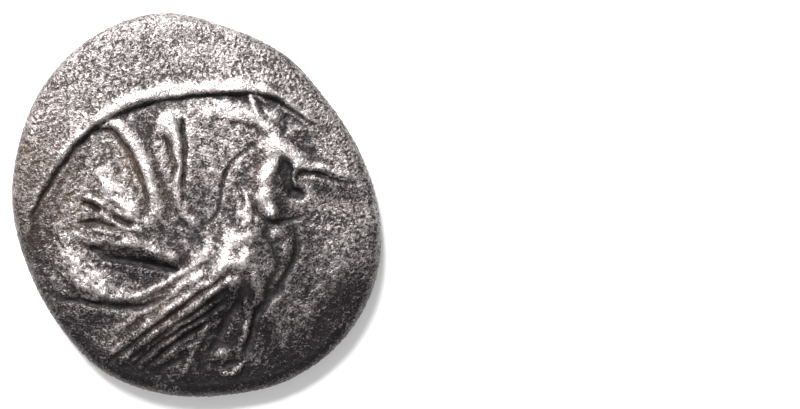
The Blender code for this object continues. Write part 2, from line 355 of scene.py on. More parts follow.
# %% Cuts between the feathers
TAIL_CUTS = (
    (((-2.70, 2.22), (-2.42, 2.18), (-2.20, 1.92), (-1.96, 1.56), (-1.72, 1.12), (-1.56, 0.76),
      (-1.44, 0.40), (-1.38, 0.10)), 0.05, 0.07, -0.08, -0.09, -0.08, -0.04),
    (((-0.34, 2.42), (-0.30, 1.80), (-0.30, 1.10), (-0.32, 0.50), (-0.36, -0.05)),
     0.05, 0.13, -0.10, -0.10, -0.07, -0.04),
    (((-0.90, 1.95), (-0.72, 1.60), (-0.62, 1.20), (-0.66, 0.70)), 0.10, 0.08, -0.10, -0.06),
    (((-3.22, 0.06), (-3.04, -0.02), (-2.88, -0.14)), 0.08, 0.09, -0.12, -0.14),
    (((-3.35, -0.50), (-3.00, -0.50), (-2.70, -0.56), (-2.40, -0.66)), 0.06, 0.06, -0.06, -0.06),
    (((-2.32, -0.42), (-2.12, -0.52), (-1.92, -0.62)), 0.09, 0.09, -0.11, -0.12),
    (((-3.05, -1.28), (-2.60, -1.52), (-1.90, -1.65), (-1.20, -1.79), (-0.60, -1.88)),
     0.12, 0.10, -0.06, -0.12, -0.16, -0.12),
    (((-4.00, -2.66), (-3.43, -2.80), (-2.72, -2.90), (-1.90, -2.96), (-1.20, -2.84),
      (-0.75, -2.62)),
     0.06, 0.13, -0.05, -0.10, -0.12, -0.10, -0.04),
    (((-4.05, -0.92), (-3.90, -1.25)), 0.06, 0.06, -0.05, -0.05),
)
for one in TAIL_CUTS:
    ridge(bird, *one)
print(f"{len(TAIL_CUTS)} cuts, the deepest {-bird.min():.2f} mm")

# %% [markdown]
# ## Worn places in the tail
#
# Where feathers have worn down they run together into broad low lumps, and small pits and beads are
# left between them. Blurring the strokes would wear all of them alike. Mounds laid over them wear
# only chosen places, one line for each.

# %% Lumps of the tail
TAIL_LUMPS = (
    ((-0.74, 2.30), (0.36, 0.50), 0, 0.06),
    ((0.62, 2.72), (0.95, 0.40), -4, 0.06),
    ((-2.45, 0.22), (0.85, 0.42), -40, 0.07),
    ((-3.20, 0.20), (0.50, 0.45), 0, 0.04),
    ((-2.32, 0.29), (0.08, 0.07), 0, -0.09),
    ((-2.74, 0.42), (0.11, 0.10), 0, 0.06),
    ((-2.10, -0.75), (0.95, 0.40), -14, 0.04),
    ((-3.30, -1.95), (0.55, 0.75), 40, 0.06),
    ((-2.75, -2.35), (0.55, 0.30), -25, 0.05),
    ((-3.25, -1.10), (0.45, 0.35), 0, 0.04),
    ((-3.00, -1.32), (0.10, 0.10), 0, -0.04),
    ((-4.10, -0.45), (0.25, 0.40), 20, 0.03),
    ((-1.08, 1.62), (0.06, 0.06), 0, -0.04),
    ((-3.06, -0.58), (0.16, 0.11), 0, -0.10),
    ((-2.60, 0.20), (0.13, 0.08), -30, 0.05),
    ((-2.20, -0.03), (0.15, 0.08), -35, 0.05),
    ((-3.08, 0.18), (0.13, 0.07), -20, 0.04),
    ((-2.62, -0.30), (0.14, 0.08), -30, 0.04),
)
for one in TAIL_LUMPS:
    mound(bird, *one)
print(f"{len(TAIL_LUMPS)} lumps and pits")

# %% [markdown]
# ## The body
#
# The body is the highest part of the coin and the most worn: breast and shoulder are one smooth
# swelling now. A sculptor would pull it up with a large soft brush. A few broad mounds that overlap
# do the same here. Small ones along the neck turn some of its crest to the light, and two with a rise
# below zero make the hollow under the bill.

# %% Body
BODY_MOUNDS = (
    ((1.02, -1.72), (1.25, 0.90), 40, 0.27),
    ((1.72, -0.50), (0.95, 0.45), 72, 0.16),
    ((1.80, -1.95), (0.50, 0.90), 8, 0.12),
    ((-0.20, -3.00), (2.10, 0.75), 38, 0.13),
    ((1.90, 0.55), (0.45, 0.35), 66, 0.05),
    ((2.28, 1.68), (0.40, 0.42), -35, 0.14),
    ((2.24, 2.62), (0.24, 0.24), 0, 0.08),
    ((2.00, 0.45), (0.22, 0.20), 10, 0.05),
    ((2.10, -0.02), (0.20, 0.18), -10, 0.05),
    ((2.60, 1.50), (0.22, 0.12), -45, 0.03),
    ((2.95, 2.20), (0.26, 0.24), 0, 0.04),
    ((2.93, 0.32), (0.25, 0.18), -12, -0.16, 1.6),
    ((2.62, 0.90), (0.24, 0.50), 12, -0.10, 1.4),
    ((3.55, -0.68), (0.26, 0.12), 0, 0.03),
    ((4.60, -0.95), (0.32, 0.40), 0, 0.03),
    ((4.02, -2.05), (0.14, 0.22), 0, 0.03),
    ((2.60, -1.15), (0.28, 0.50), -10, 0.06),
    ((2.44, -0.84), (0.22, 0.10), 0, 0.05),
    ((2.66, -1.42), (0.14, 0.24), 0, 0.05),
    ((2.48, -1.07), (0.17, 0.07), 10, -0.06),
    ((0.40, 1.20), (0.35, 0.60), -15, 0.02),
    ((1.35, -1.40), (0.20, 0.15), 0, 0.05),
)
for one in BODY_MOUNDS:
    mound(bird, *one)
print(f"the body rises to {bird.max():.2f} mm")

# %% [markdown]
# ## Neck and head
#
# The neck stands up from the shoulder, and the head keeps its comb, its bill and its wattle. They are
# too small and too worn to be modelled apart and set on. Short strokes added to the same board let
# them grow out of the body, as they did on the die.

# %% Neck and head
NECK_AND_HEAD = (
    (((2.12, 2.12), (2.36, 1.86), (2.66, 1.60), (2.86, 1.38), (2.94, 1.24)),
     0.24, 0.16, 0.07, 0.12, 0.13),
    (((2.30, 1.50), (2.20, 1.15), (2.08, 0.85), (2.02, 0.55), (2.06, 0.20), (2.14, -0.05),
      (2.24, -0.25)), 0.22, 0.20, 0.06, 0.11, 0.15, 0.20),
    (((2.96, 1.10), (2.90, 0.85), (2.92, 0.58)), 0.06, 0.07, 0.10, 0.10),
    (((1.63, 3.14), (1.73, 2.76), (1.90, 2.48), (2.06, 2.22)), 0.10, 0.10, 0.07, 0.10, 0.09),
    (((1.45, 2.78), (1.62, 2.55), (1.84, 2.34)), 0.07, 0.08, 0.04, 0.06),
    (((3.06, 1.14), (3.45, 1.06), (3.90, 1.00), (4.30, 0.88), (4.62, 0.78)),
     0.18, 0.05, 0.05, 0.05, 0.03),
    (((4.34, 1.40), (4.40, 1.15), (4.47, 0.92)), 0.05, 0.05, 0.05, 0.04),
    (((1.28, 1.35), (1.05, 0.95), (0.88, 0.45), (0.80, 0.00)), 0.16, 0.06, 0.03, 0.03),
    (((1.20, 0.30), (1.28, -0.05), (1.22, -0.45)), 0.07, 0.07, 0.03, 0.05),
    (((1.52, 0.30), (1.50, -0.10), (1.36, -0.60)), 0.07, 0.07, 0.04, 0.06),
)
for one in NECK_AND_HEAD:
    ridge(bird, *one)
print(f"{len(NECK_AND_HEAD)} strokes for the neck and the head")

# %% [markdown]
# ## Cuts of the neck and the breast
#
# Grooves part the neck from the feathers behind it, run round its foot and follow the breast down to
# the legs, and short ones set off the comb and the bill. They keep the swelling readable where wear
# has taken its edges. Digging them by hand at the end would work as well, but as strokes they can be
# moved as easily as the ridges.

# %% Cuts of the neck and the breast
NECK_CUTS = (
    (((1.67, 1.76), (1.48, 1.58), (1.10, 1.27), (0.86, 0.82), (0.74, 0.30), (0.66, -0.20),
      (0.45, -0.50)), 0.05, 0.06, -0.04, -0.05, -0.05, -0.03),
    (((1.66, 0.22), (1.72, -0.08), (1.92, -0.34), (2.30, -0.48), (2.72, -0.44), (3.00, -0.36),
      (3.55, -0.20)), 0.06, 0.09, -0.05, -0.09, -0.11, -0.05, -0.01),
    (((3.10, 0.96), (3.60, 0.92), (4.02, 0.75), (4.30, 0.70), (4.64, 0.66)),
     0.04, 0.09, -0.12, -0.10, -0.06, -0.04),
    (((2.68, 2.60), (2.66, 2.30), (2.56, 2.05)), 0.06, 0.07, -0.06, -0.05),
    (((1.84, 3.00), (1.98, 2.72), (2.10, 2.56)), 0.05, 0.05, -0.05, -0.04),
    (((1.07, 2.42), (1.35, 2.40), (1.58, 2.30)), 0.04, 0.10, -0.06, -0.05),
    (((2.14, -0.50), (2.12, -0.95), (2.32, -1.35), (2.40, -1.75), (2.22, -2.20), (2.06, -2.60)),
     0.10, 0.09, -0.04, -0.05, -0.04, -0.06),
    (((2.87, -0.60), (2.96, -1.05), (2.91, -1.60), (2.66, -2.02), (2.38, -2.35)),
     0.09, 0.10, -0.05, -0.07, -0.08, -0.08),
    (((1.78, 0.05), (1.74, -0.30), (1.70, -0.75)), 0.05, 0.06, -0.07, -0.04),
)
for one in NECK_CUTS:
    ridge(bird, *one)
print(f"{len(NECK_CUTS)} cuts, and the body is still {bird.max():.2f} mm high")

# %% [markdown]
# ## The wing
#
# The folded wing is four long quills side by side, two shorter ones and sharp cuts between them, and
# they fade where they run off the worn lower edge. One quill could be repeated by a loop, but each is
# bent and worn in its own way, so each has its own stroke.

# %% Wing
QUILLS = (
    (((0.79, -2.00), (0.10, -2.46), (-0.59, -2.98), (-1.27, -3.47), (-1.96, -4.02), (-2.65, -4.52)),
     0.08, 0.15, 0.05, 0.09, 0.08, 0.03),
    (((0.98, -2.26), (0.40, -2.74), (-0.39, -3.28), (-1.17, -3.80), (-1.86, -4.34), (-2.20, -4.66)),
     0.08, 0.14, 0.05, 0.09, 0.08, 0.03),
    (((0.90, -2.66), (0.30, -3.10), (-0.49, -3.58), (-1.27, -4.07), (-1.86, -4.62)),
     0.08, 0.12, 0.05, 0.08, 0.06, 0.03),
    (((0.60, -3.16), (0.05, -3.50), (-0.55, -3.88), (-1.10, -4.30), (-1.60, -4.76)),
     0.08, 0.12, 0.05, 0.07, 0.06, 0.02),
    (((0.10, -4.06), (-0.40, -4.24), (-0.80, -4.42), (-1.10, -4.62)), 0.08, 0.07, 0.05, 0.08, 0.03),
    (((0.28, -1.98), (-0.25, -2.32), (-0.90, -2.76), (-1.50, -3.14), (-2.30, -3.66)),
     0.07, 0.10, 0.04, 0.06, 0.03),
)
QUILL_CUTS = (
    (((0.62, -2.28), (0.10, -2.64), (-0.59, -3.14), (-1.27, -3.64), (-1.96, -4.19), (-2.60, -4.68)),
     0.05, 0.06, -0.03, -0.07, -0.06, -0.03),
    (((0.80, -2.54), (0.36, -2.90), (-0.42, -3.43), (-1.20, -3.96), (-1.86, -4.50)),
     0.08, 0.07, -0.08, -0.09, -0.06, -0.03),
    (((0.80, -2.88), (0.26, -3.26), (-0.52, -3.73), (-1.27, -4.22), (-1.80, -4.72)),
     0.08, 0.08, -0.09, -0.08, -0.06, -0.03),
    (((0.45, -3.42), (-0.05, -3.72), (-0.60, -4.06), (-1.10, -4.46), (-1.50, -4.82)),
     0.07, 0.10, -0.07, -0.10, -0.06, -0.02),
    (((-0.25, -4.45), (-0.70, -4.66), (-1.00, -4.82)), 0.08, 0.08, -0.06, -0.02),
)
WING_END = ((-2.35, -3.75), (0.60, 0.28), 38, 0.02)
for one in QUILLS + QUILL_CUTS:
    ridge(bird, *one)
mound(bird, *WING_END)
print(f"{len(QUILLS)} quills and {len(QUILL_CUTS)} cuts between them")

# %% [markdown]
# ## The legs
#
# In front of the wing stand two legs with a spur and a foot, so worn that they only just show. More
# height would lift them out of the wear, so cuts beside them set them off instead. Low mounds and a
# hollow shape the foot, which strokes alone would leave too thin.

# %% Legs
LEGS = (
    (((1.47, -2.90), (1.57, -3.35), (1.45, -3.72), (1.32, -4.05), (1.25, -4.30)),
     0.12, 0.10, 0.07, 0.09, 0.06),
    (((0.62, -3.20), (0.38, -3.52), (0.12, -3.92), (-0.08, -4.28), (-0.26, -4.60), (-0.44, -5.02)),
     0.11, 0.12, 0.06, 0.07, 0.07, 0.05),
    (((0.02, -4.62), (-0.30, -4.56)), 0.08, 0.08, 0.05, 0.04),
    (((0.68, -4.86), (0.86, -4.96), (1.10, -4.92), (1.28, -4.76), (1.36, -4.58)),
     0.10, 0.10, 0.02, 0.10, 0.09, 0.03),
    (((2.45, -2.45), (2.15, -2.75), (1.92, -3.02), (1.76, -3.35), (1.66, -3.80), (1.58, -4.25)),
     0.15, 0.15, -0.10, -0.13, -0.06),
    (((1.22, -2.90), (0.95, -3.35), (0.74, -3.80), (0.48, -4.25), (0.20, -4.80)),
     0.14, 0.14, -0.08, -0.09, -0.03),
)
FEET = (
    ((0.86, -4.40), (0.30, 0.24), 0, 0.09, 1.3),
    ((1.06, -4.62), (0.18, 0.09), 10, -0.06),
    ((0.68, -4.40), (0.16, 0.12), 20, 0.04),
)
for one in LEGS:
    ridge(bird, *one)
for one in FEET:
    mound(bird, *one)
print(f"{len(LEGS)} strokes for the legs and {len(FEET)} mounds for the feet")

# %% [markdown]
# ## The struck side
#
# The side with the bird is a low dome. The field inside the die's edge is pressed a little lower than
# the silver round it. On the right that edge was shallow, so the field runs out softly there. A
# modifier could bend a flat sheet into the dome, but on the board dome, field and relief are simply
# added up, and each stays a line of its own. The relief is multiplied by slow noise, as if worn more
# in some places than in others, and it fades out where the dome turns down to the coin's edge.

# %% Struck side
RIM_THICKNESS = 0.84
CROWN = 0.36
DOME_POWER = 2.4
DIE_RADIUS = 5.20
DIE_MIDDLE = (0.16, -1.74)
DIE_WALL = 0.15
RUN_OUT = 1.50
RUN_OUT_FROM, RUN_OUT_TO = 3.0, 4.2
FIELD_SINK = 0.08
RELIEF_FADE = 1 / 12
WEAR_PITCH = 0.7
WEAR_CHANGE = 0.18
WEAR_LEAST, WEAR_MOST = 0.5, 1.4

inside = DIE_RADIUS - np.hypot(hand_x - DIE_MIDDLE[0], hand_y - DIE_MIDDLE[1])
wall_width = DIE_WALL + RUN_OUT * ease((board_x - RUN_OUT_FROM) / (RUN_OUT_TO - RUN_OUT_FROM))
in_die = ease(inside / wall_width)
fade = ease((1 - share) / RELIEF_FADE)
dome = RIM_THICKNESS + CROWN * (1 - np.minimum(share, 1) ** DOME_POWER)
worn = np.clip(1 + WEAR_CHANGE * noise(WEAR_PITCH, 31), WEAR_LEAST, WEAR_MOST)
struck = dome + (bird * worn - FIELD_SINK * in_die) * fade
print(f"struck side up to {struck[share < 1].max():.2f} mm over the table")

# %% [markdown]
# ## The punch
#
# The iron punch left a square pit with leaning walls and a flat floor in the other side. A tapered
# block could be cut out of the coin's mesh, but then its walls would be quite clean. So its mouth and
# its floor are polygons on the board, given by their corners, and the distance to their sides says how
# far down the wall a place is.

# %% Punch
PUNCH_SIDE = 6.30
PUNCH_SHIFT = (-1.10, -0.15)
PUNCH_TURN = 132
PUNCH_UNIT = PUNCH_SIDE / 200
# Corners in hundredths of half the punch's side, as seen from below, and turning right
PUNCH_MOUTH = ((-108, 95), (100, 97), (108, -106), (-98, -90))
PUNCH_FLOOR = ((-92, 84), (79, 84), (73, -87), (-89, -87))


def inside_by(px, py, corners):
    """How far a point lies inside a polygon whose corners turn right; below zero is outside."""
    least = np.full(px.shape, np.inf)
    outside = np.zeros(px.shape)
    for (ax, ay), (bx, by) in zip(corners, corners[1:] + corners[:1]):
        across = ((by - ay) * (px - ax) - (bx - ax) * (py - ay)) / np.hypot(bx - ax, by - ay)
        least = np.minimum(least, across)
        outside = np.hypot(outside, np.minimum(across, 0))
    return np.where(least < 0, -outside, least)


turn_x, turn_y = cos(radians(PUNCH_TURN)), sin(radians(PUNCH_TURN))
from_pole_x, from_pole_y = hand_x - POLE[0], hand_y - POLE[1]
punch_u = (from_pole_x * turn_x + from_pole_y * turn_y - PUNCH_SHIFT[0]) / PUNCH_UNIT
punch_v = (from_pole_x * turn_y - from_pole_y * turn_x - PUNCH_SHIFT[1]) / PUNCH_UNIT
mouth = inside_by(punch_u, punch_v, PUNCH_MOUTH)
floor_in = inside_by(punch_u, punch_v, PUNCH_FLOOR)
wall = np.clip(mouth / np.maximum(mouth - floor_in, TINY), 0, 1)
print(f"the punch covers {(mouth > 0).sum() / (share < 1).sum():.0%} of this side")

# %% [markdown]
# ## Four sails
#
# The punch's own face stood out in four places, which left four deeper shapes like sails in the floor.
# Each is steep at its upper side and runs out at the lower one, so one function makes all four from
# their corners.

# %% Sails
# Corners in the same unit as the punch's
SAILS = (
    ((-68, 61), (-12, 68), (-9, 37), (-23, 25)),
    ((61, 52), (60, 12), (15, 3)),
    ((-73, -9), (-59, -6), (-32, -11), (-64, -36)),
    ((-4, -19), (43, -65), (2, -65), (-11, -51)),
)
SAIL_WALL = 4
SAIL_FOOT = 0.3


def sail(corners):
    """One deeper shape, cut steeply at its upper side and running out to the lower one."""
    low, high = min(v for u, v in corners), max(v for u, v in corners)
    inside = ease(inside_by(punch_u, punch_v, corners) / SAIL_WALL + 0.5)
    return inside * (SAIL_FOOT + (1 - SAIL_FOOT) * ease((punch_v - low) / (high - low)))


sails = sum(sail(one) for one in SAILS)
print(f"{len(SAILS)} sails in the floor")

# %% [markdown]
# ## The punched side
#
# The blow dragged the silver round the pit in a little, so the coin lies on the outer part of this
# side. It also tore the silver at the walls, all but the upper one. The torn crumbs could be scattered
# as small bodies, but noise that only rises on the walls leaves the coin one piece.

# %% Punched side
PUNCH_DEPTH = 0.26
SAIL_DEPTH = 0.13
DRAG_DEPTH = 0.12
DRAG_REACH = 1.35
NOTCH_STEP = 0.35
NOTCH_RISE = 0.035
NOTCH_MOST = 1.5
# Crumbs end below the upper wall, at this place, and fade over this many hundredths
CLEAN_FROM, CLEAN_OVER = 75, 20

drag = DRAG_DEPTH * ease(1 + np.minimum(mouth, 0) * PUNCH_UNIT / DRAG_REACH)
notches = np.clip(noise(NOTCH_STEP, 27), 0, NOTCH_MOST)
notches *= 4 * wall * (1 - wall) * (floor_in < 0) * ease((CLEAN_FROM - punch_v) / CLEAN_OVER)
punched = (drag + PUNCH_DEPTH * np.where(floor_in > 0, 1, wall) - NOTCH_RISE * notches
           + SAIL_DEPTH * sails)
print(f"punched {PUNCH_DEPTH + DRAG_DEPTH:.2f} mm deep, and {SAIL_DEPTH:.2f} mm more in the sails")

# %% [markdown]
# ## The grain
#
# Old silver that lay in the ground is eaten between its crystals, which leaves short grains like
# worms. A bump in the material could draw them, but they are what catches the light on this coin, so
# they are added to the heights as real relief. Where the flan was stretched by the blow the grains run
# one way, so longer noise takes their place there.

# %% Grain
COARSE_PITCH, COARSE_SPREAD = 0.14, 0.55
STREAK_PITCH, STREAK_SPREAD, STREAK_STRETCH = 0.13, 0.5, 2.2
FINE_PITCH, FINE_SPREAD = 0.11, 0.5
LUMP_PITCH, LUMP_SPREAD = 0.45, 0.7


def patch(middle, halves, turn=0):
    """A soft oval patch, 1 in its middle."""
    board = np.zeros(board_x.shape)
    mound(board, middle, halves, turn, 1)
    return board


# Where the grain runs one way: the middle of each patch, its half lengths, the way in degrees, a seed
STRETCHED = (
    ((-0.8, 4.3), (1.1, 0.7), 90, 7),
    ((-2.4, 3.6), (0.9, 0.9), -52, 9),
    ((-4.5, -0.5), (0.5, 1.3), 12, 11),
)

coarse = noise(COARSE_PITCH, 3, COARSE_SPREAD)
for middle, halves, turn, seed in STRETCHED:
    streaks = noise(STREAK_PITCH, seed, STREAK_SPREAD, STREAK_STRETCH, turn)
    coarse += (streaks - coarse) * patch(middle, halves)
fine = noise(FINE_PITCH, 5, FINE_SPREAD)
lumps = noise(LUMP_PITCH, 13, LUMP_SPREAD)
print(f"grains of {COARSE_PITCH} mm outside the field and {FINE_PITCH} mm in it, "
      f"running one way in {len(STRETCHED)} places")

# %% [markdown]
# ## The skin of the struck side
#
# The grain is deep on the silver that no die touched, finer in the field, deepest in the tail and on
# the breast, where broader crags lie under it, and partly rubbed away on other high parts of the bird.
# One depth for all of it would look like sandpaper. So what is on the board already, the die's field
# and the high parts, sets the depth, and listed soft patches add the rest.

# %% Skin of the struck side
# Where the grain is deepest: the middle of each patch, its half lengths and its share
CRINKLED = (
    ((-3.2, -1.7), (1.2, 1.2), 1.0),
    ((1.7, -1.2), (0.9, 1.0), 0.8),
    ((2.2, 0.6), (0.4, 1.1), 0.5),
    ((-2.5, 0.0), (0.9, 0.7), 0.7),
    ((3.7, 0.9), (1.1, 0.4), 0.6),
    ((2.2, 2.5), (0.5, 0.6), 0.4),
    ((3.7, -0.9), (0.9, 0.8), 0.6),
    ((3.0, -2.9), (0.9, 0.7), 0.5),
    ((0.7, -4.5), (1.2, 0.5), 0.8),
)
GRAIN_DEPTH = 0.0070
FIELD_LESS = 0.0025
CRINKLE_MORE = 0.0065
RUBBED_AWAY = 0.3
FINE_SHARE = 0.7
LUMP_DEPTH = 0.006
RIPPLE_DEPTH = 0.002
CRAG_DEPTH = 0.010
CRAG_PITCH, CRAG_SPREAD = 0.24, 0.5
PIT_DEPTH = 0.035
PITS_FROM, PITS_OVER = 2.1, 0.6
HIGH_REACH, HIGH_FULL = 0.45, 0.10
GRAIN_FADE = 1 / 20

high_parts = ease((struck - softened(struck, HIGH_REACH)) / HIGH_FULL)
crinkled = sum(part * patch(middle, halves) for middle, halves, part in CRINKLED)
depth = GRAIN_DEPTH - FIELD_LESS * in_die + CRINKLE_MORE * crinkled
skin = depth * (1 - RUBBED_AWAY * high_parts) * (coarse + (fine - coarse) * FINE_SHARE * in_die)
skin += (LUMP_DEPTH * lumps + RIPPLE_DEPTH * noise(CRAG_PITCH, 15)) * in_die
skin += CRAG_DEPTH * noise(CRAG_PITCH, 17, CRAG_SPREAD) * crinkled
pits = PIT_DEPTH * ease((lumps - PITS_FROM) / PITS_OVER)
struck_skin = struck + (skin - pits) * ease((1 - share) / GRAIN_FADE + 0.5)
print(f"struck side's grain {1000 * np.abs(skin).mean():.1f} thousandths of a mm on average")

# %% [markdown]
# ## The skin of the punched side
#
# Both sides could have the same grain, but the coin rests on this one, and what stood out would sink
# into the table. So outside the punch the grain only goes into the silver. Inside the punch the silver
# was pressed against smooth iron, and its grain is finer.

# %% Skin of the punched side
REST_DEPTH = 0.010
REST_GRAIN = 0.008
PUNCH_GRAIN = 0.005
MOUTH_WALL = 8

in_punch = ease(mouth / MOUTH_WALL)
punched_skin = (punched + np.maximum(REST_DEPTH + REST_GRAIN * coarse, 0) * (1 - in_punch)
                + (PUNCH_GRAIN * fine + LUMP_DEPTH * lumps) * in_punch)
print(f"punched side {1000 * punched_skin[share < 1].min():.1f} thousandths of a mm over the table")

# %% [markdown]
# ## A disc of equal cells
#
# A disc can be meshed as rings round a centre, which crowds the middle with thin triangles, or as a
# square grid bent into a circle, whose cells stay alike all over. The second is used, so the carving
# is equally fine everywhere. The cells are about a twentieth of a millimetre wide.

# %% Grid
CELLS = 204
EDGE_REACH = 0.36


def round_grid(cells):
    """A square grid bent into a disc of radius 1."""
    steps = np.linspace(-1, 1, cells + 1)
    a, b = np.meshgrid(steps, steps)
    wide = np.abs(a) > np.abs(b)
    radius = np.where(wide, a, b)
    ratio = np.where(wide, b, a) / np.where(radius == 0, 1, radius)
    turn = np.where(wide, pi / 4 * ratio, pi / 2 - pi / 4 * ratio)
    return radius * np.cos(turn), radius * np.sin(turn)


disc_x, disc_y = (part.ravel() for part in round_grid(CELLS))
angle = np.arctan2(disc_y, disc_x) % (2 * pi)
rim = outline_radius(angle)
x = POLE[0] + disc_x * (rim - EDGE_REACH)
y = POLE[1] + disc_y * (rim - EDGE_REACH)
top, foot = at(struck_skin, x, y), at(punched_skin, x, y)
print(f"{x.size} points a side, about {2 * FLAN_RADIUS / CELLS:.3f} mm apart")

# %% [markdown]
# ## The edge
#
# The flan's edge is rounded, fuller below its middle. A bevel could round a sharp edge, but two carved
# sheets end here, and their grain has to run on. So the edge is a band of quarter ellipses from one
# sheet's border to the other's, which starts and ends with the sheets' own points and leaves the coin
# one closed skin. The grain of the edge is read from the same noise, unrolled round the coin.

# %% Edge
EDGE_HEIGHT = 0.42
EDGE_STEPS = 7
EDGE_GRAIN_DEPTH = 0.010
EDGE_GRAIN_STEP = 1.5
EDGE_LAPS = 3


def border_of(cells):
    """Places of the grid's border points in its flattened order, turning left."""
    row = cells + 1
    low = list(range(cells))
    right = [k * row + cells for k in range(cells)]
    high = [cells * row + k for k in range(cells, 0, -1)]
    left = [k * row for k in range(cells, 0, -1)]
    return low + right + high + left


border = np.array(border_of(CELLS))
around = len(border)
edge_angle, edge_rim = angle[border], rim[border]
unrolled = edge_angle / (2 * pi) * EDGE_LAPS * BOARD_POINTS * BOARD_STEP
bands, edge_grain = [], []
for step in range(1, 2 * EDGE_STEPS):
    turn = pi / 2 * step / EDGE_STEPS
    level = (top if step <= EDGE_STEPS else foot)[border]
    height = EDGE_HEIGHT + (level - EDGE_HEIGHT) * abs(cos(turn))
    edge_grain.append(at(coarse, unrolled, height * EDGE_GRAIN_STEP))
    uneven = EDGE_GRAIN_DEPTH * (edge_grain[-1] - 1) * sin(turn)
    radius = edge_rim - EDGE_REACH * (1 - sin(turn)) + uneven
    bands.append(np.column_stack([POLE[0] + radius * np.cos(edge_angle),
                                  POLE[1] + radius * np.sin(edge_angle), height]))
print(f"edge of {len(bands)} rings with {around} points each")

# %% [markdown]
# ## One closed mesh
#
# Both sheets and the bands between them go into one list of points and one list of faces. Joining
# them by number, and not by merging points that lie close together, leaves no gap and no point twice.
# The finished skin rides on the coin's body and takes the place of its plain solid.

# %% Mesh
points = np.vstack([np.column_stack([x, y, top]), np.column_stack([x, y, foot])] + bands)
count = x.size
row = CELLS + 1
corner = (np.arange(CELLS)[:, None] * row + np.arange(CELLS)).ravel()
square = np.column_stack([corner, corner + 1, corner + row + 1, corner + row])
rings = [border] + [2 * count + k * around + np.arange(around) for k in range(len(bands))]
rings += [border + count]
faces = [square, square[:, ::-1] + count]
faces += [np.column_stack([above, below, np.roll(below, -1), np.roll(above, -1)])
          for above, below in zip(rings, rings[1:])]
mesh = bpy.data.meshes.new("coin_of_silver")
mesh.from_pydata((points * MM).tolist(), [], np.vstack(faces).tolist())
mesh.shade_smooth()
coin = bpy.data.objects.new("coin_of_silver", mesh)
bpy.context.scene.collection.objects.link(coin)
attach(coin, "root")
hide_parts("litra_coin")
print(f"coin of {sum(len(p.vertices) - 2 for p in mesh.polygons)} triangles")

# %% [markdown]
# ## What the finish needs to know
#
# The finish depends on the shape: hollows keep dirt, and the tops of the grains are bare. Blender can
# measure this while it renders, but here it is worked out once from the heights and stored on the
# points, so that it stays with the mesh. A value above zero stands higher than what lies round it.
# The relief is compared over a wide reach and the grain over a narrow one.

# %% Relief and grain
EDGE_GRAIN = 0.4
EDGE_BLUR = 0.3
RELIEF_REACH, RELIEF_FULL = 0.35, 0.08
GRAIN_REACH, GRAIN_FULL = 0.10, 0.010


def store(name, upper, under, own=0):
    """Keeps one number for each point of the mesh, under a name that the finish asks for.

    On the edge it passes from one side's number to the other's, with a share of the edge's own grain.
    """
    above, below = (at(softened(side, EDGE_BLUR), x, y)[border] for side in (upper, under))
    shares = (1 + np.cos(pi / 2 * np.arange(1, 2 * EDGE_STEPS) / EDGE_STEPS)) / 2
    edge = below + shares[:, None] * (above - below) + own * np.array(edge_grain)
    values = np.concatenate([at(upper, x, y), at(under, x, y), edge.ravel()])
    mesh.attributes.new(name, "FLOAT", "POINT").data.foreach_set("value", values.astype(np.float32))
    print(f"{name}: {values.min():.2f} to {values.max():.2f}, mean {values.mean():.2f}")


def standing_out(board, reach, full):
    """How far a surface stands over its own blur, from -1 to 1 at the full height."""
    return np.clip((board - softened(board, reach)) / full, -1, 1)


store("relief", standing_out(struck_skin, RELIEF_REACH, RELIEF_FULL),
      -standing_out(punched_skin, RELIEF_REACH, RELIEF_FULL))
store("grain", standing_out(struck_skin, GRAIN_REACH, GRAIN_FULL),
      -standing_out(punched_skin, GRAIN_REACH, GRAIN_FULL), own=EDGE_GRAIN)
